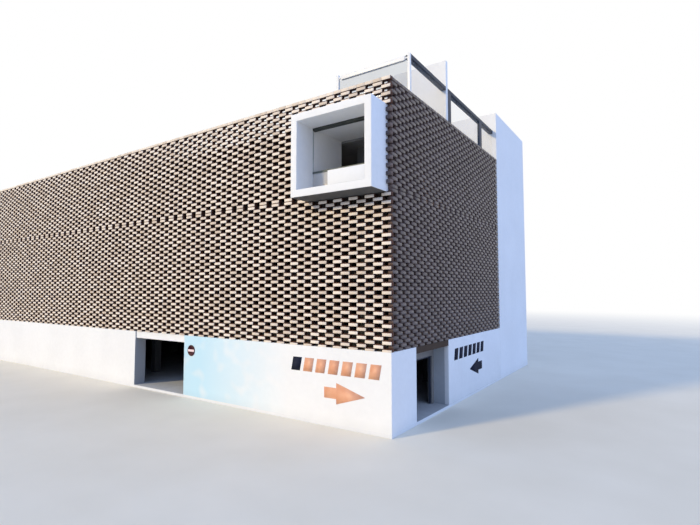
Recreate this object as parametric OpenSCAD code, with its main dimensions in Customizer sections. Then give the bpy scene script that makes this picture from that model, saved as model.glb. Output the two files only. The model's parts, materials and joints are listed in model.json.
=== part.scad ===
// Multi storey car park: a white rendered ground storey, three parking storeys and a roof deck
// behind hit-and-miss block screens, a projecting viewing box, a glazed roof frame and a corner
// tower. Millimetres, +Z up, front towards -Y. The origin is the middle of the plan at ground level.

/* [Building] */
// Length of the building along the front
building_len = 36000; // [32000:100:38000]
// Depth of the building from front to back
building_depth = 19100; // [17000:100:22000]
// Height of the rendered ground storey, up to the first parking deck
ground_h = 2900; // [2700:50:3400]
// Height of each upper storey, floor to floor
storey_h = 2900; // [2700:50:3400]
// Thickness of the ground slab
ground_slab_t = 120; // [100:10:250]
// Thickness of the parking decks
deck_t = 250; // [180:10:400]
// Thickness of the rendered walls
wall_t = 200; // [150:10:350]
// Side of the square columns
column_w = 400; // [300:10:600]
// Distance from the outside of the building to the middle of the outer columns
column_setback = 3000; // [2900:50:3400]
// Number of columns in a row along the building
columns_long = 5; // [3:1:7]
// Number of rows of columns across the building
columns_deep = 3; // [2:1:4]

/* [Block screens] */
// Thickness of the block screens
screen_t = 200; // [140:10:300]
// Length taken by one block and one gap in a course
block_pitch = 1412; // [1200:4:2400]
// Height of one course of blocks
course_h = 290; // [280:10:900]
// How far a block bears on the one below it, at each end
block_bearing = 40; // [30:5:120]
// Height of the screens above the roof deck
parapet_h = 1100; // [900:50:1400]
// Height of the plain strip along the foot and head of each screen
screen_edge = 40; // [20:5:80]
// Thickness of the closed leaf on the inside of the left and back screens
screen_leaf = 60; // [40:5:100]

/* [Vehicle entry] */
// Distance from the right end of the front to the vehicle entry
entry_from_right = 11250; // [9000:50:14000]
// Clear width of the vehicle entry
entry_w = 4100; // [3000:50:5000]
// Clear height of the vehicle entry above the ground slab
entry_h = 2440; // [2100:20:2550]
// Depth of the jambs and lintel round the vehicle entry
entry_depth = 600; // [300:20:900]
// Width of the jambs beside the vehicle entry
jamb_w = 300; // [200:20:500]
// How far the lintel's face lies behind the front
lintel_setback = 60; // [20:5:120]

/* [Pedestrian entrance] */
// Distance from the front to the entrance recess in the right side
recess_from_front = 1930; // [1500:10:2300]
// Width of the entrance recess
recess_w = 3180; // [2800:20:3600]
// Depth of the entrance recess
recess_depth = 700; // [500:10:1000]
// Distance from the far cheek of the recess to the doorway
door_from_cheek = 200; // [120:10:500]
// Width of the doorway in the wall
door_w = 1800; // [900:20:2200]
// Height of the doorway in the wall
door_h = 2080; // [2000:10:2200]
// Face width of the frame that lines the doorway
door_frame_w = 60; // [40:5:100]
// Depth of the frame, in the middle of the wall
door_frame_t = 100; // [60:10:150]

/* [Viewing box] */
// Distance from the right side of the building to the viewing box
box_from_right = 190; // [100:10:1500]
// Outside width of the viewing box
box_w = 3580; // [2800:20:4400]
// Height of the viewing box's underside below the top parking deck
box_drop = 175; // [120:5:250]
// Height of the viewing box's top above the roof deck
box_rise = 115; // [20:5:250]
// How far the viewing box stands out from the front
box_out = 975; // [500:25:1500]
// Thickness of the viewing box's walls, floor and roof
box_t = 280; // [200:10:350]
// Height of the low wall across part of the viewing box, above its floor
box_wall_h = 520; // [300:10:900]
// Width of the low wall
box_wall_w = 1560; // [800:20:2000]
// Thickness of the low wall
box_wall_t = 150; // [100:10:250]
// Height of the guard above the box's floor, with its rail
guard_h = 880; // [700:10:1200]
// Thickness of the guard's glass
guard_t = 20; // [12:1:30]
// Width and height of the rail on the guard
guard_rail = 50; // [30:2:80]
// Width of the dark track in the box's ceiling
track_w = 150; // [80:5:200]
// Height of the dark track
track_h = 110; // [40:10:200]

/* [Roof frame] */
// Height of the roof frame above the roof deck
frame_h = 2850; // [2200:50:3300]
// Distance from the front to the front leg of the roof frame, and to the viewing box's inner end
frame_from_front = 2000; // [1000:50:2400]
// Distance from the front leg to the first side post
first_bay = 3900; // [3000:50:4500]
// Distance from one side post to the next
side_bay = 4480; // [3500:20:5000]
// Width of a post
frame_post = 110; // [80:5:160]
// Depth of a side post along the right side
side_post_l = 400; // [100:10:500]
// Height of the beam along the right side
frame_beam_h = 170; // [120:10:250]
// Width of the beam
frame_beam_w = 250; // [150:10:350]
// Height of the bar across the front leg
front_bar_h = 180; // [120:10:250]
// Thickness of the bar
front_bar_t = 130; // [80:10:200]
// Distance from the posts' heads down to the top of the bar
front_bar_drop = 60; // [20:10:150]
// Gap between the bar and a post, which a pin bridges
front_bar_gap = 130; // [60:10:250]
// Width and height of a pin
front_bar_pin = 60; // [30:5:80]
// Thickness of the frame's glass
pane_t = 20; // [12:1:30]
// Height of the white wall on the roof
roof_wall_h = 4100; // [3000:50:4500]
// Length of the white wall on the roof
roof_wall_len = 3200; // [2000:50:4500]
// Thickness of the white wall on the roof
roof_wall_t = 200; // [150:10:350]

/* [Tower] */
// Length of the tower along the right side, up to the back
tower_len = 6300; // [5000:100:7000]
// Width of the tower along the back
tower_w = 3200; // [2400:50:4500]
// Height of the tower above the roof deck
tower_above = 3870; // [3000:10:4500]

/* [Signs] */
// Diameter of the round entry sign
sign_d = 510; // [300:10:700]
// Thickness of the round entry sign
sign_t = 30; // [15:5:60]
// Height of the sign's middle above the ground
sign_z = 2220; // [1800:20:2600]
// Distance from the entry to the middle of the sign
sign_from_entry = 540; // [400:20:1000]

/* [Hidden] */

// Storeys behind the block screens
upper_storeys = 3;
// How far a cutting tool runs past the face that it cuts
past = 10;

x_left = -building_len / 2;
x_right = building_len / 2;
y_front = -building_depth / 2;
y_back = building_depth / 2;
roof_z = ground_h + upper_storeys * storey_h;
deck_1_soffit = ground_h - deck_t;
tower_x = x_right - tower_w;
tower_y = y_back - tower_len;
tower_top = roof_z + tower_above;
entry_x1 = x_right - entry_from_right;
entry_x0 = entry_x1 - entry_w;
recess_y0 = y_front + recess_from_front;
recess_y1 = recess_y0 + recess_w;
recess_x = x_right - recess_depth;
door_y1 = recess_y1 - door_from_cheek;
door_y0 = door_y1 - door_w;
box_x1 = x_right - box_from_right;
box_x0 = box_x1 - box_w;
box_z0 = ground_h + (upper_storeys - 1) * storey_h - box_drop;
box_z1 = roof_z + box_rise;
box_floor = box_z0 + box_t;
frame_x = x_right - screen_t;
frame_y = y_front + frame_from_front;
frame_top = roof_z + frame_h;
beam_z = frame_top - frame_beam_h;
bar_z = frame_top - front_bar_drop - front_bar_h;
side_posts_y = [for (y = [frame_y + first_bay : side_bay : tower_y - side_post_l]) y];
roof_wall_y = frame_y + first_bay - roof_wall_t;

// Floor level of a storey: 0 is the ground slab, 1 is the first parking deck
function level(storey) = storey == 0 ? ground_slab_t : ground_h + (storey - 1) * storey_h;

// Box between two corners
module block(a, b) {
    translate(a) cube(b - a);
}

// Piece of the ground storey's walls between two points of the plan
module wall(a, b, z0 = ground_slab_t, z1 = ground_h) {
    color("white") block([a.x, a.y, z0], [b.x, b.y, z1]);
}

module ground_slab() {
    color("gainsboro") block([x_left, y_front, 0], [x_right, y_back, ground_slab_t]);
}

module front_wall_left() {
    wall([x_left, y_front], [entry_x0 - jamb_w, y_front + wall_t]);
}

module front_wall_right() {
    wall([entry_x1 + jamb_w, y_front], [x_right, y_front + wall_t]);
}

// Part of the frame round the vehicle entry: full height in the wall, under the deck behind it
module entry_frame_part(x0, x1, z0, setback = 0) {
    wall([x0, y_front + setback], [x1, y_front + wall_t], z0);
    wall([x0, y_front + wall_t], [x1, y_front + entry_depth], z0, deck_1_soffit);
}

module entry_jambs() {
    entry_frame_part(entry_x0 - jamb_w, entry_x0, ground_slab_t);
    entry_frame_part(entry_x1, entry_x1 + jamb_w, ground_slab_t);
}

module entry_lintel() {
    entry_frame_part(entry_x0, entry_x1, ground_slab_t + entry_h, lintel_setback);
}

module corner_wall() {
    wall([x_right - wall_t, y_front + wall_t], [x_right, recess_y0]);
}

module recess_cheeks() {
    for (y = [recess_y0 - wall_t, recess_y1])
        wall([recess_x - wall_t, y], [x_right - wall_t, y + wall_t], z1 = deck_1_soffit);
}

module recess_wall() {
    wall([recess_x - wall_t, recess_y0], [recess_x, door_y0], z1 = deck_1_soffit);
    wall([recess_x - wall_t, door_y1], [recess_x, recess_y1], z1 = deck_1_soffit);
}

module recess_head() {
    wall([recess_x - wall_t, door_y0], [recess_x, door_y1], ground_slab_t + door_h, deck_1_soffit);
}

// Frame that lines the sides and head of the doorway
module door_frame() {
    x1 = recess_x - (wall_t - door_frame_t) / 2;
    color("darkslategray") difference() {
        block([x1 - door_frame_t, door_y0, ground_slab_t], [x1, door_y1, ground_slab_t + door_h]);
        block([x1 - door_frame_t - past, door_y0 + door_frame_w, ground_slab_t - past],
              [x1 + past, door_y1 - door_frame_w, ground_slab_t + door_h - door_frame_w]);
    }
}

module right_wall() {
    wall([x_right - wall_t, recess_y1], [x_right, tower_y]);
}

module left_wall() {
    wall([x_left, y_front + wall_t], [x_left + wall_t, y_back - wall_t]);
}

module back_wall() {
    wall([x_left, y_back - wall_t], [tower_x, y_back]);
}

// Space that the viewing box takes in the screens and decks, with a margin in front
module box_space() {
    block([box_x0, y_front - past, box_z0], [box_x1, frame_y, box_z1]);
}

// Parking deck under a storey's floor: inside the walls or screens, and round the tower
module deck(storey, edge) {
    color("silver") translate([0, 0, level(storey) - deck_t]) linear_extrude(height = deck_t)
        polygon([[x_left + edge, y_front + edge], [x_right - edge, y_front + edge],
                 [x_right - edge, tower_y], [tower_x, tower_y], [tower_x, y_back - edge],
                 [x_left + edge, y_back - edge]]);
}

// The first deck also reaches over the entrance recess and carries the screen there
module deck_1() {
    deck(1, wall_t);
    color("silver") block([x_right - wall_t, recess_y0, deck_1_soffit], [x_right, recess_y1, ground_h]);
}

module deck_2() {
    deck(2, screen_t);
}

module deck_3() {
    difference() {
        deck(3, screen_t);
        box_space();
    }
}

module roof_deck() {
    difference() {
        deck(upper_storeys + 1, screen_t);
        box_space();
    }
}

// Square columns of one storey, from its floor to the deck over it; none inside the tower
module storey_columns(storey) {
    step_x = (building_len - 2 * column_setback) / (columns_long - 1);
    step_y = (building_depth - 2 * column_setback) / (columns_deep - 1);
    for (i = [0 : columns_long - 1], j = [0 : columns_deep - 1]) {
        x = x_left + column_setback + i * step_x;
        y = y_front + column_setback + j * step_y;
        if (x + column_w / 2 < tower_x || y + column_w / 2 < tower_y)
            color("silver") block([x - column_w / 2, y - column_w / 2, level(storey)],
                                  [x + column_w / 2, y + column_w / 2, level(storey + 1) - deck_t]);
    }
}

module columns() {
    for (storey = [0 : upper_storeys])
        storey_columns(storey);
}

// Hit-and-miss block screen along +X: in each course a gap stands over a block of the course below.
// Where a leaf is given, it shuts the gaps at the face y = 0.
module screen(run, rise, leaf = -past) {
    pairs = round(run / block_pitch);
    courses = round((rise - 2 * screen_edge) / course_h);
    pitch = run / max(pairs, 1);
    course = (rise - 2 * screen_edge) / courses;
    gap = pitch / 2 - block_bearing;
    color("tan") difference() {
        cube([run, screen_t, rise]);
        for (row = [0 : courses - 1], k = [0 : 1 : pairs - 1 - row % 2])
            translate([(k + (1 + row % 2) / 2) * pitch - gap / 2, leaf, screen_edge + row * course])
                cube([gap, screen_t + past - leaf, course]);
    }
}

module front_screen(z, rise) {
    translate([x_left, y_front, z]) screen(building_len, rise);
}

module right_screen_at(z, rise) {
    translate([x_right, y_front + screen_t, z]) rotate([0, 0, 90])
        screen(building_depth - tower_len - screen_t, rise);
}

module left_screen_at(z, rise) {
    translate([x_left + screen_t, y_front + screen_t, z]) rotate([0, 0, 90])
        screen(building_depth - 2 * screen_t, rise, screen_leaf);
}

module back_screen_at(z, rise) {
    translate([x_left, y_back - screen_t, z]) screen(building_len - tower_w, rise, screen_leaf);
}

module front_screen_1() {
    front_screen(level(1), storey_h);
}

module front_screen_2() {
    difference() {
        front_screen(level(2), storey_h);
        box_space();
    }
}

// The viewing box closes this storey's screen short of the corner, where a plain pier stands
module front_screen_3() {
    translate([x_left, y_front, level(3)]) screen(box_x0 - x_left, storey_h);
    translate([box_x1, y_front, level(3)]) screen(x_right - box_x1, storey_h);
}

module front_parapet() {
    difference() {
        front_screen(roof_z, parapet_h);
        box_space();
    }
}

module right_screen() {
    right_screen_at(level(1), upper_storeys * storey_h);
}

module right_parapet() {
    right_screen_at(roof_z, parapet_h);
}

module left_screen() {
    left_screen_at(level(1), upper_storeys * storey_h);
}

module left_parapet() {
    left_screen_at(roof_z, parapet_h);
}

module back_screen_1() {
    back_screen_at(level(1), storey_h);
}

module back_screen_2() {
    back_screen_at(level(2), storey_h);
}

module back_screen_3() {
    back_screen_at(level(3), storey_h);
}

module back_parapet() {
    back_screen_at(roof_z, parapet_h);
}

// Square tube that stands out of the front and runs back over the top parking deck
module viewing_box() {
    color("white") difference() {
        block([box_x0, y_front - box_out, box_z0], [box_x1, frame_y, box_z1]);
        block([box_x0 + box_t, y_front - box_out - past, box_floor],
              [box_x1 - box_t, frame_y + past, box_z1 - box_t]);
    }
}

module box_low_wall() {
    color("white")
        block([box_x1 - box_t - box_wall_w, y_front - box_out, box_floor],
              [box_x1 - box_t, y_front - box_out + box_wall_t, box_floor + box_wall_h]);
}

module box_guard() {
    color("lightblue", 0.5)
        block([box_x0 + box_t, y_front + (guard_rail - guard_t) / 2, box_floor],
              [box_x1 - box_t, y_front + (guard_rail + guard_t) / 2, box_floor + guard_h - guard_rail]);
}

module guard_rail() {
    color("darkslategray")
        block([box_x0 + box_t, y_front, box_floor + guard_h - guard_rail],
              [box_x1 - box_t, y_front + guard_rail, box_floor + guard_h]);
}

module ceiling_track() {
    color("dimgray")
        block([box_x0 + box_t, y_front, box_z1 - box_t - track_h],
              [box_x1 - box_t, y_front + track_w, box_z1 - box_t]);
}

// Post of the roof frame with its right front corner at a point of the plan
module post(x, y, depth, z1) {
    block([x - frame_post, y, roof_z], [x, y + depth, z1]);
}

// The two posts of the front leg stand as high as the beam, and the side posts under it
module frame_posts() {
    color("white") {
        post(box_x0 + frame_post, frame_y, frame_post, frame_top);
        post(frame_x, frame_y, frame_post, frame_top);
    }
    color("darkslategray") for (y = side_posts_y)
        post(frame_x, y, side_post_l, beam_z);
}

// Bar across the front leg, held by a pin at each end
module front_bar() {
    x0 = box_x0 + frame_post;
    x1 = frame_x - frame_post;
    y1 = frame_y + front_bar_t;
    y_pin = frame_y + (frame_post - front_bar_pin) / 2;
    z_pin = bar_z + (front_bar_h - front_bar_pin) / 2;
    color("white") {
        block([x0 + front_bar_gap, frame_y, bar_z], [x1 - front_bar_gap, y1, bar_z + front_bar_h]);
        block([x0, y_pin, z_pin], [x1, y_pin + front_bar_pin, z_pin + front_bar_pin]);
    }
}

// Beam along the right side, from the corner post to the white wall and on to the tower
module frame_beam() {
    front_bar();
    color("darkslategray") {
        block([frame_x - frame_beam_w, frame_y + frame_post, beam_z], [frame_x, roof_wall_y, frame_top]);
        block([frame_x - frame_beam_w, roof_wall_y + roof_wall_t, beam_z], [frame_x, tower_y, frame_top]);
    }
}

// Glass between the posts, from the deck to the bar or the beam; the white wall ends the first pane
module frame_glass() {
    pane_x = frame_x - (frame_post + pane_t) / 2;
    pane_y = frame_y + (frame_post - pane_t) / 2;
    color("lightblue", 0.5) {
        block([box_x0 + frame_post, pane_y, roof_z], [frame_x - frame_post, pane_y + pane_t, bar_z]);
        block([pane_x, frame_y + frame_post, roof_z], [pane_x + pane_t, roof_wall_y, beam_z]);
        for (k = [0 : 1 : len(side_posts_y) - 1])
            block([pane_x, side_posts_y[k] + side_post_l, roof_z],
                  [pane_x + pane_t, k < len(side_posts_y) - 1 ? side_posts_y[k + 1] : tower_y, beam_z]);
    }
}

// White wall across the roof, up to the frame's outer face, with the first side post behind it
module roof_wall() {
    color("white")
        block([frame_x - roof_wall_len, roof_wall_y, roof_z],
              [frame_x, roof_wall_y + roof_wall_t, roof_z + roof_wall_h]);
}

module tower_front() {
    wall([tower_x, tower_y], [x_right, tower_y + wall_t], z1 = tower_top);
}

module tower_right() {
    wall([x_right - wall_t, tower_y + wall_t], [x_right, y_back - wall_t], z1 = tower_top);
}

module tower_back() {
    wall([tower_x, y_back - wall_t], [x_right, y_back], z1 = tower_top);
}

module tower_left() {
    wall([tower_x, tower_y + wall_t], [tower_x + wall_t, y_back - wall_t], z1 = tower_top);
}

module tower_roof() {
    wall([tower_x + wall_t, tower_y + wall_t], [x_right - wall_t, y_back - wall_t],
         tower_top - deck_t, tower_top);
}

// Plain round sign beside the vehicle entry
module entry_sign() {
    color("darkred")
        translate([entry_x1 + sign_from_entry, y_front, sign_z]) rotate([90, 0, 0])
            cylinder(d = sign_d, h = sign_t, $fn = 64);
}

ground_slab();
front_wall_left();
front_wall_right();
entry_jambs();
entry_lintel();
corner_wall();
recess_cheeks();
recess_wall();
recess_head();
door_frame();
right_wall();
left_wall();
back_wall();
deck_1();
deck_2();
deck_3();
roof_deck();
columns();
front_screen_1();
front_screen_2();
front_screen_3();
front_parapet();
right_screen();
right_parapet();
left_screen();
left_parapet();
back_screen_1();
back_screen_2();
back_screen_3();
back_parapet();
viewing_box();
box_low_wall();
box_guard();
guard_rail();
ceiling_track();
frame_posts();
frame_beam();
frame_glass();
roof_wall();
tower_front();
tower_right();
tower_back();
tower_left();
tower_roof();
entry_sign();
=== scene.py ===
# %% [markdown]
# # Dressing a multi storey car park
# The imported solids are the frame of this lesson. They hold every wall, deck and opening at its
# place, in metres, with the front towards -Y and the ground at z = 0. Blender adds what solids of
# this size leave out: the small clay blocks of the screens, eased edges, signs, glass and
# finishes. Sizes come from the solids wherever a solid has them, so the dressing follows the CAD.

import json
import math

import bpy
import numpy as np
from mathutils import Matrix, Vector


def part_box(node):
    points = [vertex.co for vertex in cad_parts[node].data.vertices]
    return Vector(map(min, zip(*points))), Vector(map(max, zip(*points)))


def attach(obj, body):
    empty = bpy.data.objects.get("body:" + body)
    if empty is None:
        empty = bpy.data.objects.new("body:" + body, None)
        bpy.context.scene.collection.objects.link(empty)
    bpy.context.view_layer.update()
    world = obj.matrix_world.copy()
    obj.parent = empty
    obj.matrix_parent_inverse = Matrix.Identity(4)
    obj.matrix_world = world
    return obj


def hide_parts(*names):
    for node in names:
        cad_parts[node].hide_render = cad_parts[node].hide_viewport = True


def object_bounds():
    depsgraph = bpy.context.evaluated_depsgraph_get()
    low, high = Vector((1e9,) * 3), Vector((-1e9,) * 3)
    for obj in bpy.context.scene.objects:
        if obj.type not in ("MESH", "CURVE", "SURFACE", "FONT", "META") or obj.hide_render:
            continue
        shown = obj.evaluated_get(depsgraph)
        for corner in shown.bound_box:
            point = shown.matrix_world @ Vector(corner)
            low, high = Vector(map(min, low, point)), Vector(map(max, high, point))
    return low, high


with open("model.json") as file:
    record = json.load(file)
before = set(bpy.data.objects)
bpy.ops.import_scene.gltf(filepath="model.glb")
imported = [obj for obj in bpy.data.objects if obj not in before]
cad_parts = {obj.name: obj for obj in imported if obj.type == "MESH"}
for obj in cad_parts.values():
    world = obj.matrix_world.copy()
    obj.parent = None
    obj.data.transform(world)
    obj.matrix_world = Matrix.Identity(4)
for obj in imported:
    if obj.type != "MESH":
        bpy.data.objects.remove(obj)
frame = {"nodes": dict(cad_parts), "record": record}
cad_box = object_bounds()
print("CAD box", [[round(c, 3) for c in corner] for corner in cad_box])

# %% [markdown]
# The camera looks up at the front right corner of the building from 5 m above the ground, as from
# a window on the first floor. It could be aimed by eye, but its place, turn, tilt and lens were
# solved from the edges of the building instead, so that a render lies over the photograph.

# %% Camera
eye, lens, sensor_width = (25.757, -23.616, 5.016), 23.783, 36.0
tilt, turn = 3.523, 33.945
camera_data = bpy.data.cameras.new("street_camera")
camera_data.sensor_width = sensor_width
camera_data.lens = lens
camera_data.clip_end = 2000.0
camera = bpy.data.objects.new("street_camera", camera_data)
camera.location = eye
camera.rotation_euler = (math.radians(90.0 + tilt), 0.0, math.radians(turn))
bpy.context.scene.collection.objects.link(camera)
bpy.context.scene.camera = camera
bpy.context.scene.view_settings.view_transform = "Standard"
print("camera at", tuple(round(c, 2) for c in eye), "lens", lens)

# %% [markdown]
# Every new piece in this lesson is a closed surface made of quads. The points could be typed in
# or pushed about by hand, but a formula on whole numpy arrays says in one line what the shape is.
# These cells hold the few tools that all pieces share: a mesh from arrays, a rounded ring, a skin
# over rings, and an eased slab, which is what a cast or rendered edge looks like from near by.

# %% Pieces
def make_piece(name, shape, finishes, replaces=(), finish_of_quad=None):
    """A closed mesh piece from a shape, which is points and quads. Its volume is the sum over its
    triangles of a . (b x c) / 6, and where that is negative the quads are turned round, so that
    all faces look outwards."""
    points, quads = np.asarray(shape[0], float).reshape(-1, 3), np.asarray(shape[1])
    a, b, c, d = (points[quads[:, i]] for i in range(4))
    volume = (np.cross(b, c) * a).sum() + (np.cross(c, d) * a).sum()
    if volume < 0:
        quads = quads[:, ::-1]
    mesh = bpy.data.meshes.new(name)
    mesh.vertices.add(len(points))
    mesh.vertices.foreach_set("co", points.ravel())
    mesh.loops.add(quads.size)
    mesh.loops.foreach_set("vertex_index", quads.ravel())
    mesh.polygons.add(len(quads))
    mesh.polygons.foreach_set("loop_start", np.arange(0, quads.size, 4))
    for finish in finishes:
        mesh.materials.append(finish)
    if finish_of_quad is not None:
        mesh.polygons.foreach_set("material_index", np.asarray(finish_of_quad, np.int32))
    mesh.update(calc_edges=True)
    mesh.validate()
    piece = bpy.data.objects.new(name, mesh)
    bpy.context.scene.collection.objects.link(piece)
    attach(piece, "root")
    if replaces:
        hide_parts(*replaces)
    print(f"{name}: {len(quads)} quads, {abs(volume) / 6:.3f} m3")
    return piece


def corners(node):
    """Lowest and highest corner of a node's solid, as two arrays of x, y and z."""
    low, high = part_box(node)
    return np.array(low), np.array(high)


building_size = np.subtract(cad_box[1], cad_box[0])
print("the building is", building_size.round(2).tolist(), "m along x, y and z")


# %% Shapes
def rounded_ring(half_x, half_y, radius, steps=3):
    """Points round a rectangle with round corners, anticlockwise: each corner's centre plus its
    radius times (cos t, sin t), with t going through a quarter turn."""
    turn = np.linspace(0.0, math.pi / 2, steps + 1)
    start = np.arange(4) * math.pi / 2
    angle = (start[:, None] + turn[None, :]).ravel()
    side_x = np.repeat([1, -1, -1, 1], steps + 1) * (half_x - radius)
    side_y = np.repeat([1, 1, -1, -1], steps + 1) * (half_y - radius)
    return np.stack([side_x + radius * np.cos(angle), side_y + radius * np.sin(angle)], 1)


def skin(rings):
    """Quads over rings of equal size: point i of ring k joins i + 1 and the same two of ring
    k + 1. Each end is closed by strips between points i and n - 1 - i."""
    count, n = rings.shape[:2]
    i, k = np.arange(n), np.arange(count - 1)[:, None]
    j = (i + 1) % n
    sides = np.stack([k * n + i, k * n + j, (k + 1) * n + j, (k + 1) * n + i], -1).reshape(-1, 4)
    s = np.arange(n // 2 - 1)
    end = np.stack([s, s + 1, n - 2 - s, n - 1 - s], 1)
    return rings.reshape(-1, 3), np.concatenate([sides, end[:, ::-1], end + (count - 1) * n])


def slab(low, high, ease=0.008):
    """A box with eased edges: rounded rectangles stacked in z, drawn in by a share of the ease
    near both ends."""
    low, high = np.asarray(low, float), np.asarray(high, float)
    middle, half = (low + high) / 2, (high - low) / 2
    inset = ease * np.array([0.7, 0.25, 0.0, 0.0, 0.25, 0.7])
    height = ease * np.array([0.0, 0.3, 1.0])
    z = np.concatenate([low[2] + height, high[2] - height[::-1]])
    rings = np.array([rounded_ring(half[0] - d, half[1] - d, ease - d) for d in inset])
    z_of_point = np.broadcast_to(z[:, None, None], (*rings.shape[:2], 1))
    return skin(np.concatenate([rings + middle[:2], z_of_point], 2))


def gather(parts):
    """Several closed shells as one shape: the quads of each are shifted by the points before."""
    shift = np.cumsum([0] + [len(points) for points, _ in parts])
    quads = [quads + shift[n] for n, (_, quads) in enumerate(parts)]
    return np.concatenate([points for points, _ in parts]), np.concatenate(quads)


print("an eased slab has", len(slab((0, 0, 0), (1, 1, 1))[1]), "quads")

# %% [markdown]
# A finish is a small tree of nodes. It could be one flat colour, but render, concrete and fired
# clay all vary: in large soft clouds from the making, and in a fine grain that shows as bump.
# These helpers add a node, a noise, a colour ramp and a bump, all on Object coordinates, which
# are metres on this building because every piece has its place in its mesh.

# %% Colours and nodes
def srgb(red, green, blue):
    """Linear colour of a screen colour from 0 to 255, by the sRGB curve."""
    share = np.array([red, green, blue]) / 255.0
    linear = np.where(share <= 0.04045, share / 12.92, ((share + 0.055) / 1.055) ** 2.4)
    return (*linear.tolist(), 1.0)


def grey(value, cool=0.0):
    """Linear grey, a little bluer where cool is above 0."""
    return (value * (1 - cool), value, value * (1 + cool), 1.0)


def add(tree, kind, inputs=(), **settings):
    """Adds a node with its settings, and sets or links each of its named or numbered inputs."""
    node = tree.nodes.new(kind)
    for key, value in settings.items():
        setattr(node, key, value)
    for key, value in dict(inputs).items():
        if isinstance(value, bpy.types.NodeSocket):
            tree.links.new(value, node.inputs[key])
        else:
            node.inputs[key].default_value = value
    return node


def new_finish(name, roughness):
    """A material with its shader's roughness set: returns it, its tree, shader and coordinates."""
    finish = bpy.data.materials.new(name)
    finish.use_nodes = True
    tree = finish.node_tree
    shader = tree.nodes["Principled BSDF"]
    shader.inputs["Roughness"].default_value = roughness
    return finish, tree, shader, add(tree, "ShaderNodeTexCoord").outputs["Object"]


print("screen grey 188 is", round(srgb(188, 188, 188)[0], 3), "in linear light")


# %% Node helpers
def math_node(tree, operation, a, b=0.0):
    """One sum, product or other operation on two values."""
    return add(tree, "ShaderNodeMath", {0: a, 1: b}, operation=operation).outputs[0]


def weigh(tree, a, a_share, b, b_share):
    """The sum of two values, each times its share."""
    return math_node(tree, "ADD", math_node(tree, "MULTIPLY", a, a_share),
                     math_node(tree, "MULTIPLY", b, b_share))


def rescale(tree, value, start, end, low=0.0, high=1.0, curve="LINEAR"):
    """Carries a value from the range start to end over to low to high, and holds it beyond."""
    return add(tree, "ShaderNodeMapRange",
               {"Value": value, "From Min": start, "From Max": end, "To Min": low,
                "To Max": high}, interpolation_type=curve).outputs[0]


def noise(tree, coordinates, scale, detail=3.0, stretch=(1.0, 1.0, 1.0)):
    """Soft noise with scale lumps a metre, drawn out where stretch is below 1."""
    place = add(tree, "ShaderNodeMapping", {"Vector": coordinates, "Scale": stretch})
    return add(tree, "ShaderNodeTexNoise",
               {"Vector": place.outputs[0], "Scale": scale, "Detail": detail}).outputs["Fac"]


def shades(tree, value, stops):
    """Colour ramp through (place, colour) stops."""
    ramp = add(tree, "ShaderNodeValToRGB", {"Fac": value})
    elements = ramp.color_ramp.elements
    while len(elements) < len(stops):
        elements.new(0.5)
    for element, (place, colour) in zip(elements, stops):
        element.position, element.color = place, colour
    return ramp.outputs["Color"]


def mix_colour(tree, share, first, second, blend="MIX"):
    """Goes from the first colour to the second by the share, or multiplies the two."""
    return add(tree, "ShaderNodeMix", {"Factor": share, 6: first, 7: second},
               data_type="RGBA", blend_type=blend).outputs[2]


def add_bump(tree, shader, height, depth):
    """Tilts the shader's normal by a height between 0 and 1 that stands depth metres tall."""
    node = add(tree, "ShaderNodeBump", {"Height": height, "Distance": depth, "Strength": 1.0})
    tree.links.new(node.outputs["Normal"], shader.inputs["Normal"])


print("helpers for sums, ranges, noise, ramps, mixes and bumps")

# %% [markdown]
# The light is plain: an even blue sky, a broad, low, warm lamp from the front left, which the
# front faces, and a very soft blue fill from the right. A sky picture could light it too, but
# these plain sources add up to a neutral white on the front and leave the right side blue, as
# late sun does. The sky gives its blue to the surfaces only. Rays that leave the camera straight,
# or go on by way of gloss or glass, meet white behind the building.

# %% Sky
white, blue_sky = (1.0, 1.0, 1.0, 1.0), (0.42, 0.60, 1.0, 1.0)


def seen_rays(tree):
    """1 for a ray that comes straight from the camera or by way of gloss or glass, otherwise 0:
    the largest of three marks that the Light Path node gives."""
    rays = add(tree, "ShaderNodeLightPath").outputs
    seen = math_node(tree, "MAXIMUM", rays["Is Camera Ray"], rays["Is Glossy Ray"])
    return math_node(tree, "MAXIMUM", seen, rays["Is Transmission Ray"])


world = bpy.data.worlds.new("pale_sky")
bpy.context.scene.world = world
world.use_nodes = True
sky = world.node_tree
sky.nodes.clear()
sky_light = add(sky, "ShaderNodeBackground", {"Color": blue_sky, "Strength": 1.0})
sky_seen = add(sky, "ShaderNodeBackground", {"Color": white, "Strength": 1.0})
sky_mix = add(sky, "ShaderNodeMixShader",
              {"Fac": seen_rays(sky), 1: sky_light.outputs[0], 2: sky_seen.outputs[0]})
add(sky, "ShaderNodeOutputWorld", {"Surface": sky_mix.outputs[0]})
print("sky light", blue_sky[:3], "and white where it is seen")

# %% [markdown]
# Sunlight comes from so far away that its rays all run the same way. An area lamp would fade along
# a front of 36 m, but a Sun lamp lights it evenly. Its angle is how wide the source looks: 7
# degrees soften the edge of a shadow as hazy air does, and 60 degrees give a fill without one.

# %% Lamps
def sun_lamp(name, energy, colour, width, height, turn):
    """Far lamp, width degrees wide, height degrees above the ground and turned from the front."""
    data = bpy.data.lights.new(name, "SUN")
    data.energy, data.color, data.angle = energy, colour, math.radians(width)
    lamp = bpy.data.objects.new(name, data)
    lamp.rotation_euler = (math.radians(90.0 - height), 0.0, math.radians(turn))
    bpy.context.scene.collection.objects.link(lamp)
    print(name, energy, "at", height, "degrees above the ground, turned", turn)


sun_lamp("low_front_lamp", energy=2.42, colour=(1.0, 0.795, 0.435), width=7.0, height=21.0,
         turn=-28.0)
sun_lamp("soft_right_lamp", energy=0.80, colour=(0.44, 0.57, 1.0), width=60.0, height=12.0,
         turn=92.0)

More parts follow.
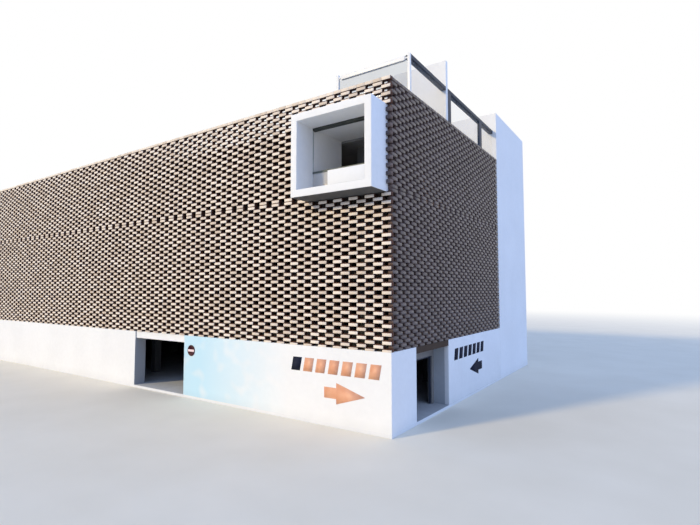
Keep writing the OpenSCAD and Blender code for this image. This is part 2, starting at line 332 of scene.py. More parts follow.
# %% [markdown]
# The floor is a plain pale disc that takes the building's shadow. A square plane would do, but its
# edge would draw a line, so the disc goes over to white far away, where it meets the white
# behind. Its colour is a little warm, to even out the blue of the sky.

# %% Floor
floor_radius, spokes, fade_start, fade_end = 400.0, 48, 34.0, 110.0
ring_radius = np.array([0.0, 0.06, 0.12, 0.25, 0.5, 1.0])[:, None] * floor_radius
spoke_angle = np.linspace(0.0, 2 * math.pi, spokes, endpoint=False)
floor_points = np.stack([ring_radius * np.cos(spoke_angle), ring_radius * np.sin(spoke_angle),
                         np.zeros((len(ring_radius), spokes))], -1)
k, i = np.arange(len(ring_radius) - 1)[:, None], np.arange(spokes)
j = (i + 1) % spokes
floor_quads = np.stack([k * spokes + i, (k + 1) * spokes + i, (k + 1) * spokes + j,
                        k * spokes + j], -1).reshape(-1, 4)
floor_mesh = bpy.data.meshes.new("floor")
floor_mesh.from_pydata(floor_points.reshape(-1, 3).tolist(), [], floor_quads.tolist())
floor = bpy.data.objects.new("floor", floor_mesh)
bpy.context.scene.collection.objects.link(floor)
print("floor", floor_radius, "m in radius")

# %% Floor finish
pale_floor, tree, shader, place = new_finish("pale_floor", roughness=0.9)
dust, stone = (0.78, 0.72, 0.60, 1.0), (0.82, 0.76, 0.64, 1.0)
tree.links.new(shades(tree, noise(tree, place, 0.4), [(0.3, dust), (0.7, stone)]),
               shader.inputs["Base Color"])
distance = add(tree, "ShaderNodeVectorMath", {0: place}, operation="LENGTH").outputs["Value"]
far = rescale(tree, distance, fade_start, fade_end, curve="SMOOTHSTEP")
fade = math_node(tree, "MULTIPLY", far, seen_rays(tree))
glow = add(tree, "ShaderNodeEmission", {"Color": white, "Strength": 1.0})
floor_mix = add(tree, "ShaderNodeMixShader",
                {"Fac": fade, 1: shader.outputs[0], 2: glow.outputs[0]})
tree.links.new(floor_mix.outputs[0], tree.nodes["Material Output"].inputs["Surface"])
floor_mesh.materials.append(pale_floor)
print("the floor is white from", fade_end, "m")

# %% [markdown]
# The ground storey, the viewing box, the roof wall and the tower are blockwork under a smooth
# white mineral render. Rolled paint on it could be pure white, but real render has soft clouds
# where it dried unevenly, a sand grain of a millimetre or two, and a greyer foot where rain
# splashes up. The clouds and the splash go into the colour, the grain into the bump. Beyond the
# vehicle entry a painted shadow of pale blue, with paler dapples of painted light, fades out along
# the wall. It could be a picture laid on the wall, but a colour that follows x needs none. The
# entry's reveals, the recess and the underside of the viewing box are the same render darkened by
# painted shade.

# %% Render finish
sand_grain, splash_low, splash_high, splash_shade = 0.0016, -0.15, 0.28, 0.92
shadow_share, dapple_share, shadow_full, shadow_end = 0.95, 0.45, 1.2, 6.6
# painted shade: the grey the entry's reveals take behind the wall's face
painted_reveal_shade, reveal_start = grey(0.33, 0.04), 0.01


def render_finish(name, light, dark, shadow_band=None, reveal=None):
    """Render whose colour runs between dark and light in clouds. A painted shadow of pale blue
    comes in along x: it is full from its start to where it fades, and gone at its end, with paler
    dapples of painted light between. Behind the depth y = reveal the render turns to the painted
    shade of the reveals."""
    finish, tree, shader, place = new_finish(name, roughness=0.82)
    clouds = weigh(tree, noise(tree, place, 0.45), 0.65, noise(tree, place, 5.0), 0.35)
    colour = shades(tree, clouds, [(0.36, dark), (0.64, light)])
    x, y, z = add(tree, "ShaderNodeSeparateXYZ", {0: place}).outputs
    if shadow_band:
        painted_shadow, start, fade, end = shadow_band
        along = rescale(tree, x, fade, end, shadow_share, 0.0)
        dapples = rescale(tree, noise(tree, place, 1.9, 0.0, (0.75, 1, 1)), 0.78, 0.5,
                          dapple_share, 1.0)
        share = math_node(tree, "MULTIPLY", along, dapples)
        share = math_node(tree, "MULTIPLY", share, math_node(tree, "GREATER_THAN", x, start))
        colour = mix_colour(tree, share, colour, painted_shadow)
    # painted shade on the reveals, behind the depth y = reveal
    if reveal is not None:
        behind = math_node(tree, "GREATER_THAN", y, reveal)
        colour = mix_colour(tree, behind, colour, painted_reveal_shade)
    foot = weigh(tree, z, 1.0, noise(tree, place, 2.5), -0.35)
    splash = rescale(tree, foot, splash_low, splash_high, splash_shade, 1.0)
    tree.links.new(mix_colour(tree, 1.0, colour, splash, "MULTIPLY"), shader.inputs["Base Color"])
    grain = weigh(tree, noise(tree, place, 260.0, 2.0), 1.0, noise(tree, place, 9.0, 2.0), 0.6)
    add_bump(tree, shader, grain, sand_grain)
    return finish


entry_high_x, wall_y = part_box("entry_lintel")[1].x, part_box("front_wall_left")[0].y
# painted shadow of pale blue beside the entry, with paler dapples of painted light
painted_shadow = (srgb(187, 222, 238), entry_high_x, entry_high_x + shadow_full, entry_high_x + shadow_end)
painted_shadow_base = (grey(0.84, 0.01), grey(0.80, 0.01))
white_render = render_finish("white_render", grey(0.84, 0.01), grey(0.79, 0.01))
painted_shadow_render = render_finish("painted_shadow_render", *painted_shadow_base, painted_shadow)
jamb_painted_shade_render = render_finish("jamb_painted_shade_render", *painted_shadow_base, painted_shadow, wall_y + reveal_start)
# painted shade: near black for the underside of the viewing box
soffit_painted_shade = render_finish("soffit_painted_shade", grey(0.10), grey(0.08))
# painted shade: the cheeks, wall and head of the recess are darkened render
cheek_painted_shade = render_finish("cheek_painted_shade", grey(0.46, 0.06), grey(0.41, 0.06))
door_wall_painted_shade = render_finish("door_wall_painted_shade", grey(0.23, -0.05), grey(0.18, -0.05))
print("render in six finishes, the wash starts at x =", round(entry_high_x, 2), "and ends after",
      shadow_end, "m")

# %% [markdown]
# Decks, columns and the ground slab are fair-faced concrete. A plain grey would look like
# cardboard, because cast concrete shows its formwork: panel joints, clouds of cement, and small
# air holes. The joints are a brick pattern without offset, the holes a cell pattern. The decks'
# edges behind the screens are darkened to a dark brown, painted shade, so that no pale line
# crosses the gaps. The columns are darkened too, painted shade for the dark inside of the
# storeys, and the ground slab has a pale screed.

# %% Concrete
panel_width, panel_height, groove, hole_depth = 2.4, 1.2, 0.006, 0.003
painted_edge_shade, edge_width = srgb(44, 30, 24), 0.01


def concrete_finish(name, low, high, inner=None):
    """Cast concrete. Its joints and clouds multiply. Where a point lies outside the rectangle
    |x| < inner x, |y| < inner y, a dark painted shade covers it."""
    finish, tree, shader, place = new_finish(name, roughness=0.78)
    panels = add(tree, "ShaderNodeTexBrick",
                 {"Vector": place, "Scale": 1.0, "Mortar Size": groove, "Mortar Smooth": 0.6,
                  "Brick Width": panel_width, "Row Height": panel_height, "Color1": white,
                  "Color2": (0.9, 0.9, 0.9, 1), "Mortar": (0.45, 0.45, 0.45, 1)}, offset=0.0)
    clouds = weigh(tree, noise(tree, place, 0.9), 0.6, noise(tree, place, 11.0), 0.4)
    colour = mix_colour(tree, 1.0, shades(tree, clouds, [(0.33, low), (0.67, high)]),
                        panels.outputs["Color"], "MULTIPLY")
    if inner is not None:
        axes = add(tree, "ShaderNodeSeparateXYZ", {0: place}).outputs
        outside = [math_node(tree, "GREATER_THAN", math_node(tree, "ABSOLUTE", axis), limit)
                   for axis, limit in zip(axes, inner)]
        colour = mix_colour(tree, math_node(tree, "MAXIMUM", *outside), colour, painted_edge_shade)
    tree.links.new(colour, shader.inputs["Base Color"])
    holes = add(tree, "ShaderNodeTexVoronoi", {"Vector": place, "Scale": 22.0})
    solid = rescale(tree, holes.outputs["Distance"], 0.02, 0.10)
    between = math_node(tree, "SUBTRACT", 1.0, panels.outputs["Fac"])
    add_bump(tree, shader, math_node(tree, "MULTIPLY", solid, between), hole_depth)
    return finish


deck_low, deck_high = corners("deck_2")
concrete = concrete_finish("concrete", grey(0.17), grey(0.27))
# painted shade on the deck edges, outside the rectangle inside them
deck_concrete_painted_edges = concrete_finish("deck_concrete_painted_edges", grey(0.17), grey(0.27),
                                (deck_high[0] - edge_width, -deck_low[1] - edge_width))
# painted shade: the columns are darkened for the dark inside of the storeys
column_concrete_painted_shade = concrete_finish("column_concrete_painted_shade", grey(0.07), grey(0.11))
screed = concrete_finish("screed", grey(0.38, 0.02), grey(0.46, 0.02))
print("concrete with", panel_width, "by", panel_height, "m formwork panels, in four finishes")

# %% [markdown]
# The screens are hollow clay blocks. On the front their faces are pale, painted light, and inside
# the gaps the clay is deep red-brown, its own colour darkened by painted shade. On the other sides
# the faces are dark clay with a slight glaze, painted shade, and the clay in the gaps is grey, the
# gap clay lightened by painted light. One clay colour would lose the pattern, since it is this
# contrast that draws it. Each block has its own tone, stored as an attribute of the mesh, so the
# shade steps from block to block as kiln batches do, and does not run across them.

# %% Fired clay
face_grain, bare_grain = 0.0015, 0.003


def clay_finish(name, low, high, roughness, grain):
    """Clay between a low and a high shade, picked by 0.7 of the block's own tone and 0.3 of a
    speckle."""
    finish, tree, shader, place = new_finish(name, roughness)
    tone = add(tree, "ShaderNodeAttribute", attribute_name="tone").outputs["Fac"]
    value = weigh(tree, tone, 0.7, noise(tree, place, 34.0, 4.0), 0.3)
    tree.links.new(shades(tree, value, [(0.0, low), (1.0, high)]), shader.inputs["Base Color"])
    add_bump(tree, shader, noise(tree, place, 150.0, 3.0), grain)
    return finish


# painted light on the front faces, painted shade on the faces of the other sides, painted light in
# their gaps
lit_face_clay = clay_finish("lit_face_clay", srgb(196, 178, 160), srgb(242, 231, 217), 0.7, face_grain)
shaded_face_clay = clay_finish("shaded_face_clay", srgb(70, 60, 60), srgb(100, 89, 88), 0.36, face_grain)
lit_gap_clay = clay_finish("lit_gap_clay", srgb(88, 72, 69), srgb(120, 102, 97), 0.7, bare_grain)
# bare red-brown clay darkened by painted shade, for the gaps and the dark leaves
bare_clay_and_shade = clay_finish("bare_clay_and_shade", srgb(60, 33, 23), srgb(91, 54, 39), 0.85, bare_grain)
print("pale, dark, grey and bare clay")

# %% [markdown]
# In each course of a screen a block stands over a gap of the course below and bears on the two
# blocks beside that gap by a few centimetres, which is called hit and miss. It could be made
# with an array modifier, but the viewing box cuts into the field and each corner has to
# bond, so the blocks are worked out as arrays: cell and course numbers, kept where their sum is
# even. Every block is the same closed shell of 22 quads: a chamfered face, and above it a rebate
# with a sloping back that leaves a dark joint under the next course. A bed of 1 mm keeps the
# courses apart, so that no two faces lie in one plane.

# %% Block pattern
block_length, block_height, bed = 0.39, 0.145, 0.001
front_cell, right_cell, side_cell = 0.353, 0.3073, 0.353
courses_per_storey, shifted_course = 20, 40
least_length, least_overlap = 0.04, 0.02


def lay_blocks(run, cell, first, last, shift, tuck):
    """Ends and courses of the blocks: cell number i plus course number c plus shift is even, and
    from the shifted course up the pattern moves by one cell. A block may reach back past the
    start of its side by tuck, into the corner. Returns u0, u1 and course."""
    cells = round(run / cell)
    pitch = run / cells
    i, c = np.meshgrid(np.arange(cells), np.arange(first, last))
    laid = (i + c + shift + (c >= shifted_course)) % 2 == 0
    i, c = i[laid], c[laid]
    middle = (i + 0.5) * pitch
    u0, u1 = middle - block_length / 2, middle + block_length / 2
    return np.maximum(u0, -tuck), np.minimum(u1, run), c


def cut_window(u0, u1, z0, z1, window):
    """Blocks that overlap the window (u from a to b, z from c to d) keep what lies beside it."""
    a, b, c, d = window
    within = (u1 > a) & (u0 < b) & (z1 > c + least_overlap) & (z0 < d - least_overlap)
    before, after = within & (a - u0 > least_length), within & (u1 - b > least_length)
    parts = [(u0[~within], u1[~within], z0[~within], z1[~within]),
             (u0[before], np.full(before.sum(), a), z0[before], z1[before]),
             (np.full(after.sum(), b), u1[after], z0[after], z1[after])]
    return (np.concatenate(column) for column in zip(*parts))


print("blocks of", block_length, "m in courses of", block_height, "m")

# %% Block shells
joint_height, joint_depth, joint_slope = 0.035, 0.025, 0.004
chamfer, uneven, points_a_block = 0.007, 0.004, 24
randoms = np.random.default_rng(7)


def block_shells(u0, u1, z0, z1, rebate, origin, along, inward, depth):
    """Six rectangles a block at the depths w, from the face inwards: the first and last are drawn
    in by the chamfer, the top of the first three lies lower by the rebate, and the first two sit
    back by up to the unevenness. A point is origin + u along + w inward + z up."""
    n = len(u0)
    w = np.array([0.0, chamfer, joint_depth - joint_slope, joint_depth, depth - chamfer, depth])
    inset = chamfer * np.array([1, 0, 0, 0, 0, 1])
    lowered, sunk = np.array([1, 1, 1, 0, 0, 0]), np.array([1, 1, 0, 0, 0, 0])
    w = w + randoms.uniform(0.0, uneven, n)[:, None] * sunk
    u = np.stack([u0, u1, u1, u0], 1)[:, None, :] + inset[:, None] * np.array([1, -1, -1, 1])
    z = np.stack([z0, z0, z1, z1], 1)[:, None, :] + inset[:, None] * np.array([1, 1, -1, -1])
    z = z - (rebate[:, None] * lowered)[:, :, None] * np.array([0, 0, 1, 1])
    w = w[:, :, None] * np.ones(4)
    points = (np.asarray(origin) + u[..., None] * np.asarray(along)
              + w[..., None] * np.asarray(inward) + z[..., None] * np.array([0.0, 0.0, 1.0]))
    k, i = 4 * np.arange(5)[:, None], np.arange(4)
    j = (i + 1) % 4
    bands = np.stack([k + i, k + j, k + 4 + j, k + 4 + i], -1).reshape(-1, 4)
    shell = np.concatenate([bands, [[3, 2, 1, 0], [20, 21, 22, 23]]])
    quads = np.arange(n)[:, None, None] * points_a_block + shell
    face = np.isin(np.arange(len(shell)), [*range(8), len(bands)])
    return (points, quads.reshape(-1, 4)), face


def block_piece(name, blocks, dark, side, replaces):
    """One stretch of a screen as a piece, with a tone for each block. A block's face has the pale
    clay of painted light and the rest of it the bare one, or where dark is true the dark clay of
    painted shade and the grey clay of painted light."""
    shape, face = block_shells(*blocks, **side)
    face_clay, rest_clay = np.where(dark, 1, 0), np.where(dark, 3, 2)
    clay = np.where(face, face_clay[:, None], rest_clay[:, None]).ravel()
    piece = make_piece(name, shape, [lit_face_clay, shaded_face_clay, bare_clay_and_shade, lit_gap_clay],
                       replaces, clay)
    tone = piece.data.attributes.new("tone", "FLOAT", "POINT")
    tones = randoms.uniform(0.0, 1.0, len(dark))
    tone.data.foreach_set("value", np.repeat(tones, points_a_block))


# %% [markdown]
# Each side has its own count from its own corner. Along the front the cells are counted from the
# right corner. A side then starts with a block wherever the front has a gap in its last cell, so
# the corner is closed by the two sides in turn, as in bonded brickwork. The shifted half pattern
# at the third storey gives the line of double height gaps that the real front shows. The left and
# back sides have a closed leaf of dark clay behind the blocks, a dark sheet of painted shade that
# keeps the inside dark. All of it could be one piece, but a piece for each storey or side stays
# light and can be shown by itself.

# %% Sides of the screens
front_low, front_high = corners("front_screen_1")
parapet_low, parapet_high = corners("front_parapet")
right_low, right_high = corners("right_screen")
left_low, left_high = corners("left_screen")
back_high = corners("back_screen_1")[1]
box_low, box_high = corners("viewing_box")
screen_depth = right_low[1] - front_low[1]
foot, deck_top, head = front_low[2], parapet_low[2], parapet_high[2]
x_left, x_right, y_front, y_back = front_low[0], front_high[0], front_low[1], back_high[1]
front_run, side_run = x_right - x_left, left_high[1] - left_low[1]
front_cells, side_cells = round(front_run / front_cell), round(side_run / side_cell)
print("screens", front_run, "m of front,", front_cells, "cells, depth", round(screen_depth, 3))

leaf_depth, leaf_lap = 0.06, 0.02
thin_depth = screen_depth - (leaf_depth - leaf_lap)
sides = {
    "front": dict(run=front_run, cell=front_cell, shift=0, tuck=0.0, depth=screen_depth,
                  origin=(x_right, y_front, 0.0), along=(-1, 0, 0), inward=(0, 1, 0)),
    "right": dict(run=right_high[1] - right_low[1], cell=right_cell, shift=1, tuck=1.0,
                  depth=screen_depth, origin=(x_right, right_low[1], 0.0), along=(0, 1, 0),
                  inward=(-1, 0, 0)),
    "left": dict(run=side_run, cell=side_cell, shift=front_cells, tuck=1.0, depth=thin_depth,
                 origin=(x_left, left_low[1], 0.0), along=(0, 1, 0), inward=(1, 0, 0)),
    "back": dict(run=back_high[0] - x_left, cell=side_cell, shift=front_cells + side_cells,
                 tuck=0.0, depth=thin_depth, origin=(x_left, y_back, 0.0), along=(1, 0, 0),
                 inward=(0, -1, 0)),
}
window = (x_right - box_high[0], x_right - box_low[0], box_low[2], box_high[2])
roof_course = round((deck_top - foot) / block_height)
top_course = roof_course + int((head - deck_top) / block_height)
cap_z = foot - joint_height + top_course * block_height
cap_rebate, touch = 0.002, 0.01
print(roof_course, "courses to the roof deck,", top_course, "to the top course")


# %% Screens
def storey_blocks(name, side, first, last, replaces, capped=False):
    """Courses first to last of one side, cut round the viewing box on the front. A capped
    stretch ends in a solid course laid end to end. Course c lies at foot - joint + c height."""
    s = sides[side]
    u0, u1, c = lay_blocks(s["run"], s["cell"], first, last, s["shift"], s["tuck"])
    z0 = foot - joint_height + c * block_height
    z0, z1 = np.maximum(z0, foot), z0 + block_height - bed
    if side == "front":
        u0, u1, z0, z1 = cut_window(u0, u1, z0, z1, window)
    rebate = np.full(len(u0), joint_height)
    if capped:
        cells = round(s["run"] / s["cell"])
        ends = np.linspace(0.0, s["run"], cells + 1)
        u0, u1 = np.append(u0, ends[:-1]), np.append(u1, ends[1:] - bed)
        z0, z1 = np.append(z0, np.full(cells, cap_z)), np.append(z1, np.full(cells, head))
        rebate = np.append(rebate, np.full(cells, cap_rebate))
    # painted shadow of the viewing box on the front blocks between it and the corner
    in_box_shadow = (u1 < window[0] + touch) & (z0 > window[2] - touch) & (z0 < window[3])
    frame_of_side = {key: s[key] for key in ("origin", "along", "inward", "depth")}
    # painted shade: every side but the front gets the dark clay
    block_piece(name, (u0, u1, z0, z1, rebate), in_box_shadow | (side != "front"), frame_of_side,
                replaces)


for side in ("front", "right", "left", "back"):
    if side in ("front", "back"):
        for storey in (1, 2, 3):
            first = (storey - 1) * courses_per_storey
            storey_blocks(f"{side}_blocks_{storey}", side, first, first + courses_per_storey,
                          [f"{side}_screen_{storey}"])
    else:
        storey_blocks(f"{side}_blocks", side, 0, roof_course, [f"{side}_screen"])
    storey_blocks(f"{side}_parapet_blocks", side, roof_course, top_course, [f"{side}_parapet"],
                  True)

leaf_x, leaf_y = x_left + screen_depth, y_back - screen_depth
# dark leaves of painted shade behind the left and back blocks
make_piece("left_shade_leaf", slab((leaf_x - leaf_depth, left_low[1], foot),
                             (leaf_x, left_high[1], head)),
           [bare_clay_and_shade], ["left_screen", "left_parapet"])
make_piece("back_shade_leaf", slab((x_left, leaf_y, foot), (back_high[0], leaf_y + leaf_depth, head)),
           [bare_clay_and_shade],
           [f"back_screen_{storey}" for storey in (1, 2, 3)] + ["back_parapet"])

# %% [markdown]
# The viewing box is one white tube, square in section. A cube with a hole would do for its form,
# but its rims catch the light, so it is swept instead: the wall's own section, a long rectangle
# with round corners, is carried round the square of the box. Both directions close on themselves,
# which gives a ring-shaped grid without ends. Its underside is darkened to near black, painted
# shade, and a low wall stands on its floor in the right half of the mouth.

# %% Viewing box
box_ease, wall_ease, flush = 0.014, 0.012, 0.001
box_wall = box_high[0] - corners("box_guard")[1][0]
half, middle = (box_high - box_low) / 2, (box_low + box_high) / 2
section = rounded_ring(box_wall / 2, half[1], box_ease) + [box_wall / 2, middle[1]]
loops = np.array([rounded_ring(half[0] - d, half[2] - d, box_ease) for d, _ in section])
turns, width = loops.shape[:2]
# Point p of loop s lies on the square drawn in by the section's width, at the section's depth.
tube_points = np.stack([loops[..., 0] + middle[0],
                        np.broadcast_to(section[:, 1:2], (turns, width)),
                        loops[..., 1] + middle[2]], -1)
s, p = np.meshgrid(np.arange(turns), np.arange(width), indexing="ij")
next_s, next_p = (s + 1) % turns, (p + 1) % width
tube_quads = np.stack([s * width + p, s * width + next_p, next_s * width + next_p,
                       next_s * width + p], -1).reshape(-1, 4)
# painted shade on the quads of the tube's underside
painted_shade_underside = tube_points.reshape(-1, 3)[tube_quads, 2].max(1) < box_low[2] + flush
make_piece("viewing_tube", (tube_points, tube_quads), [white_render, soffit_painted_shade],
           ["viewing_box"], painted_shade_underside)
make_piece("viewing_low_wall", slab(*corners("box_low_wall"), wall_ease), [white_render],
           ["box_low_wall"])

# %% [markdown]
# Glass stands in the viewing box as a guard and on the roof between the posts. Full refraction
# would show thick slabs of crystal and throw black shadows, so these panes are a tinted surface
# that lets most light pass and keeps a clear gloss, which is how a thin pane reads from outside.
# The metals are painted, so they are satin coats of colour with a fine orange peel, not bare
# metal, which would mirror the floor.

# %% Glass and metal finishes
glass_ior, orange_peel = 1.5, 0.0004


def glass_finish(name, colour, alpha, cloud=grey(0.42, 0.12)):
    """A thin tinted pane: the tint covers by its alpha, and faint streaks change its gloss."""
    finish, tree, shader, place = new_finish(name, roughness=0.04)
    shader.inputs["Alpha"].default_value = alpha
    shader.inputs["IOR"].default_value = glass_ior
    tree.links.new(shades(tree, noise(tree, place, 0.8), [(0.3, colour), (0.7, cloud)]),
                   shader.inputs["Base Color"])
    streaks = noise(tree, place, 3.0, 4.0, (1, 1, 0.2))
    tree.links.new(rescale(tree, streaks, 0.0, 1.0, 0.02, 0.10), shader.inputs["Roughness"])
    return finish


def metal_paint(name, colour, worn, roughness=0.38, gloss=0.5):
    """Satin paint: slightly lighter clouds, and a fine orange peel in the bump. A low gloss makes
    it matt."""
    finish, tree, shader, place = new_finish(name, roughness)
    shader.inputs["Specular IOR Level"].default_value = gloss
    tree.links.new(shades(tree, noise(tree, place, 3.0, 5.0), [(0.35, colour), (0.75, worn)]),
                   shader.inputs["Base Color"])
    add_bump(tree, shader, noise(tree, place, 320.0, 2.0), orange_peel)
    return finish


front_glass = glass_finish("front_glass", grey(0.30, 0.14), alpha=0.24)
side_glass = glass_finish("side_glass", grey(0.30, 0.14), alpha=0.08)
guard_glass = glass_finish("guard_glass", grey(0.72, -0.03), 0.42, cloud=grey(0.78, -0.03))
white_metal = metal_paint("white_metal", grey(0.82, 0.01), grey(0.76, 0.01))
dark_metal = metal_paint("dark_metal", (0.020, 0.028, 0.050, 1.0), (0.034, 0.044, 0.070, 1.0),
                         roughness=0.6)
rail_metal = metal_paint("rail_metal", srgb(70, 80, 77), srgb(86, 96, 93), roughness=0.5)
track_metal = metal_paint("track_metal", srgb(40, 44, 40), srgb(56, 60, 55), roughness=0.5)
jamb_metal = metal_paint("jamb_metal", srgb(150, 156, 156), srgb(166, 172, 172), roughness=0.5)
print("three glasses, five metals")

# %% [markdown]
# A metre inside the box, in line with the building's face, a pane of glass guards the drop. A
# handrail caps it, and its channel grips the top of the pane, so the rail's slab reaches down
# over the glass. A track runs along the ceiling, with a slim jamb under each end. Each is a
# straight bar and could be a plain cube, but an eased slab is as simple, and its edges catch a
# line of light.

# %% Guard, rail and track
pane_ease, rail_ease, track_ease, jamb_ease = 0.003, 0.008, 0.005, 0.004
make_piece("guard_pane", slab(*corners("box_guard"), pane_ease), [guard_glass],
           ["box_guard"])
rail_low, rail_high = corners("guard_rail")
channel_drop = np.array([0.0, 0.0, 0.03])
make_piece("guard_handrail", slab(rail_low - channel_drop, rail_high, rail_ease), [rail_metal],
           ["guard_rail"])
track_low, track_high = corners("ceiling_track")
make_piece("door_track", slab(track_low, track_high, track_ease), [track_metal],
           ["ceiling_track"])
jamb_width, jamb_depth, jamb_setback = 0.03, 0.03, 0.01
jamb_foot, jamb_y = rail_high[2], track_low[1] + jamb_setback
make_piece("door_jambs", gather([
    slab((x, jamb_y, jamb_foot), (x + jamb_width, jamb_y + jamb_depth, track_low[2]), jamb_ease)
    for x in (track_low[0], track_high[0] - jamb_width)]), [jamb_metal])

# %% [markdown]
# On the roof a frame of posts carries a white bar across the front leg and a dark beam along the
# right side, with panes between them. They could be one lump, but bar, beam, posts and panes are
# separate parts of the real frame, and the bar hangs clear of the posts on a pin at each end.

# %% Roof frame
post_low, post_high = corners("frame_posts")
wall_low, wall_high = corners("roof_wall")
tower_y = corners("tower_front")[0][1]
post_width, beam_height, beam_width = 0.11, 0.17, 0.25
bar_height, bar_depth, bar_drop, bar_gap, pin_width = 0.18, 0.13, 0.06, 0.13, 0.06
side_bay, side_post_length, thin_ease, bar_ease = 4.48, 0.40, 0.006, 0.01
frame_x, frame_y, frame_top = post_high[0], post_low[1], post_high[2]
left_x, right_x = post_low[0] + post_width, frame_x - post_width
beam_z, bar_z = frame_top - beam_height, frame_top - bar_drop - bar_height


def post(x, y, depth, top):
    """Post with its right front corner at x, y."""
    return slab((x - post_width, y, deck_top), (x, y + depth, top), thin_ease)


make_piece("corner_posts", gather([post(left_x, frame_y, post_width, frame_top),
                                   post(frame_x, frame_y, post_width, frame_top)]),
           [white_metal], ["frame_posts"])
post_rows = np.arange(wall_high[1], tower_y - side_post_length, side_bay)
make_piece("side_posts", gather([post(frame_x, y, side_post_length, beam_z) for y in post_rows]),
           [dark_metal], ["frame_posts"])
pin_y = frame_y + (post_width - pin_width) / 2
pin_z = bar_z + (bar_height - pin_width) / 2
make_piece("front_bar", gather([
    slab((left_x + bar_gap, frame_y, bar_z),
         (right_x - bar_gap, frame_y + bar_depth, bar_z + bar_height), bar_ease),
    slab((left_x, pin_y, pin_z), (right_x, pin_y + pin_width, pin_z + pin_width), thin_ease)]),
    [white_metal], ["frame_beam"])
make_piece("side_beam", gather([
    slab((frame_x - beam_width, y0, beam_z), (frame_x, y1, frame_top), bar_ease)
    for y0, y1 in ((frame_y + post_width, wall_low[1]), (wall_high[1], tower_y))]),
    [dark_metal], ["frame_beam"])

# %% Roof panes
pane_depth = 0.02
pane_x = frame_x - (post_width + pane_depth) / 2
pane_y = frame_y + (post_width - pane_depth) / 2
pane_ends = [(frame_y + post_width, wall_low[1])]
pane_ends += [(y + side_post_length, min(y + side_bay, tower_y)) for y in post_rows]
make_piece("front_pane", slab((left_x, pane_y, deck_top), (right_x, pane_y + pane_depth, bar_z),
                              pane_ease), [front_glass], ["frame_glass"])
make_piece("side_panes", gather([
    slab((pane_x, y0, deck_top), (pane_x + pane_depth, y1, beam_z), pane_ease)
    for y0, y1 in pane_ends]), [side_glass], ["frame_glass"])

# %% [markdown]
# Beside the entries stand flat painted signs: a row of slanted bars, and an arrow that points to
# the door. Paint could be drawn into the wall's material, but a cut plate a few millimetres thick
# gives a crisp edge and a thin shadow line.

# %% Sign shapes
def plate(outline, thickness, facing):
    """A flat plate: an outline of mirrored points in (along, z) drawn out by the thickness. It
    faces the front with along as x, or the right side with along as y."""
    outline = np.asarray(outline, float)
    depth = np.array([0.0, thickness])[:, None] + np.zeros(len(outline))
    along = np.broadcast_to(outline[:, 0], depth.shape)
    z = np.broadcast_to(outline[:, 1], depth.shape)
    if facing == "front":
        return skin(np.stack([along, y_front - depth, z], -1))
    return skin(np.stack([x_right - depth, along, z], -1))


def arrow(tail, tip, middle, height=0.78, head_share=0.69, shaft=0.20, blunt=0.01, lean=0.003):
    """Arrow outline from tail to tip: a shaft as far as the neck, where the head's share of the
    length begins, barbs half the height out and leant a little to the tip, and a blunt tip."""
    neck = tip + (tail - tip) * head_share
    barb = neck + (tip - tail) * lean
    half = height / 2
    lower = [(tail, -shaft), (neck, -shaft), (barb, -half), (tip, -blunt)]
    return [(a, middle + b) for a, b in lower] + [(a, middle - b) for a, b in lower[::-1]]


def bars(start, end, low, high, count=7, slant=0.10, fill=0.74):
    """A row of equal slanted bars between start and end: each starts a pitch after the one
    before, fills a share of the pitch, and leans by the slant towards its top."""
    pitch = (end - start - slant) / (count - 1 + fill)
    wide = fill * pitch
    return [[(x, low), (x + wide, low), (x + wide + slant, high), (x + slant, high)]
            for x in start + np.arange(count) * pitch]


plate_depth = 0.004
print("plates", plate_depth, "m thick")

# %% Front sign
orange_paint = metal_paint("orange_paint", srgb(219, 154, 119), srgb(227, 172, 139), 0.5)
slate_paint = metal_paint("slate_paint", srgb(26, 30, 46), srgb(38, 42, 60), 0.8, 0.1)
front_bars_x, front_bars_z = (x_right - 4.51, x_right - 0.39), (1.92, 2.44)
front_arrow_x, front_arrow_z = (x_right - 2.88, x_right - 1.09), 1.24
front_bars = bars(*front_bars_x, *front_bars_z)
make_piece("front_sign_bar_first", plate(front_bars[0], plate_depth, "front"), [slate_paint])
make_piece("front_sign_bars", gather([plate(bar, plate_depth, "front") for bar in front_bars[1:]]),
           [orange_paint])
make_piece("front_sign_arrow", plate(arrow(*front_arrow_x, front_arrow_z), plate_depth, "front"),
           [orange_paint])

# %% [markdown]
# The wall beyond the entrance recess carries the same signs in dark paint, and its arrow points
# back to the door. The solid of this wall could stay, but with the plates on it the sign would
# stand past the building's side, so the wall is a slab of its own that lies back by their depth.

# %% Right wall and its sign
side_low, side_high = corners("right_wall")
wall_face, crisp_ease = (x_right - plate_depth, side_high[1], side_high[2]), 0.004
make_piece("right_wall_render", slab(side_low, wall_face, crisp_ease), [white_render],
           ["right_wall"])
side_bars_y, side_bars_z = (y_front + 5.75, y_front + 9.87), (1.93, 2.44)
side_arrow_y, side_arrow_z = (y_front + 9.54, y_front + 7.75), 1.28
side_shapes = [*bars(*side_bars_y, *side_bars_z), arrow(*side_arrow_y, side_arrow_z)]
make_piece("side_sign", gather([plate(shape, plate_depth, "right") for shape in side_shapes]),
           [slate_paint])

# %% [markdown]
# The round sign by the vehicle entry is a pressed metal disc with a raised rim and a bar. A
# cylinder would miss the rim, so its profile is turned about its middle: each profile point is a
# radius and a height over the wall, and the ring at that radius is a full circle.

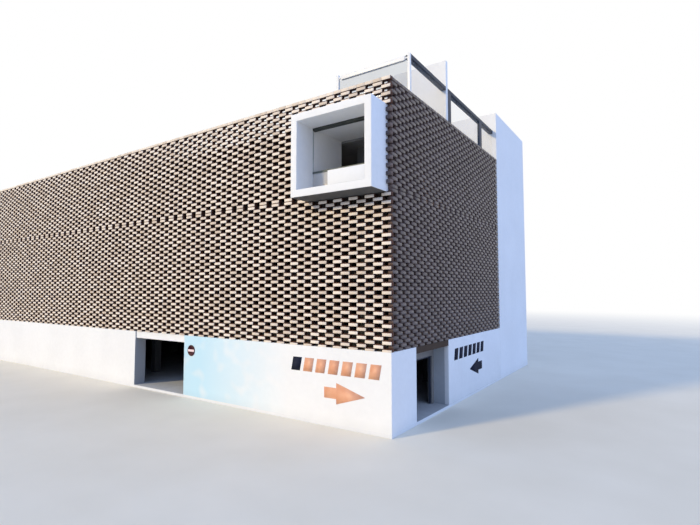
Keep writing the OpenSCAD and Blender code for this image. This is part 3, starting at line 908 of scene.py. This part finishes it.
# %% Round sign
def turned(profile, centre, steps=48):
    """Profile of (radius, height) turned about an axis towards the front: x is the radius times
    cos t, z the radius times sin t, and y goes out from the wall by the height."""
    profile = np.asarray(profile, float)
    angle = np.arange(steps) * 2 * math.pi / steps
    x = centre[0] + profile[:, :1] * np.cos(angle)
    z = centre[2] + profile[:, :1] * np.sin(angle)
    y = np.broadcast_to(centre[1] - profile[:, 1:2], x.shape)
    return skin(np.stack([x, y, z], -1))


sign_low, sign_high = corners("entry_sign")
radius, thick = (sign_high[0] - sign_low[0]) / 2, sign_high[1] - sign_low[1]
sign_centre = np.array([(sign_low[0] + sign_high[0]) / 2, sign_high[1],
                        (sign_low[2] + sign_high[2]) / 2])
red_enamel = metal_paint("red_enamel", srgb(54, 14, 26), srgb(66, 18, 32), 0.5, 0.15)
pale_enamel = metal_paint("pale_enamel", srgb(240, 214, 216), srgb(228, 204, 206), 0.3)
dish, hub, sign_ease = thick - 0.010, 0.03, 0.003
# From the wall out over the rolled edge, and down into the dish.
rim = [(radius - 0.004, 0.0), (radius, 0.005), (radius, thick - 0.008),
       (radius - 0.005, thick - 0.002), (radius - 0.012, thick - 0.003), (radius - 0.017, dish),
       (hub, dish)]
make_piece("entry_sign_disc", turned(rim, sign_centre), [red_enamel],
           ["entry_sign"])
bar_half = radius * np.array([0.86, 0.0, 0.20])
bar_front, bar_back = [0, thick - 0.003, 0], [0, thick - 0.012, 0]
make_piece("entry_sign_bar", slab(sign_centre - bar_half - bar_front,
                                  sign_centre + bar_half - bar_back, sign_ease),
           [pale_enamel], ["entry_sign"])

# %% [markdown]
# The render of the walls runs down over the edge of the ground slab, so the slab gets white sides
# and a screed on top. Two slabs could be laid on each other, but one eased slab with a finish for
# each quad has no seam between them.

# %% Ground plate
ground_low, ground_high = corners("ground_slab")
ground_points, ground_quads = slab(ground_low, ground_high, crisp_ease)
on_top = ground_points[ground_quads, 2].mean(1) > ground_high[2] - flush
make_piece("ground_plate", (ground_points, ground_quads), [white_render, screed],
           ["ground_slab"], on_top)

# %% [markdown]
# The rest of the building keeps its solids, because their form is already right: flat rendered
# walls, decks and columns meet flush, and separate eased slabs would open seams that the real
# render covers. Each gets the finish of its slot in the record, apart from the wall with the
# painted shadow and the pieces in the shade of the entries and storeys, whose finishes have
# painted shade in their colour.

# %% Finishes of the solids
finish_of_slot = {"white_render": white_render, "concrete": concrete, "dark_metal": dark_metal,
                  "white_metal": white_metal}
finish_of_node = {"front_wall_right": painted_shadow_render, "entry_jambs": jamb_painted_shade_render,
                  "recess_cheeks": cheek_painted_shade, "recess_wall": door_wall_painted_shade,
                  "recess_head": door_wall_painted_shade, "columns": column_concrete_painted_shade}
finish_of_node |= {name: deck_concrete_painted_edges for name in ("deck_1", "deck_2", "deck_3", "roof_deck")}
slot_of_node = {part["node"]: part["material_slot"] for part in frame["record"]["subparts"]}
kept = [name for name, node in frame["nodes"].items() if not node.hide_render]
for name in kept:
    finish = finish_of_node.get(name, finish_of_slot[slot_of_node[name]])
    data = frame["nodes"][name].data
    data.materials.clear()
    data.materials.append(finish)
print("solids kept:", ", ".join(sorted(kept)))
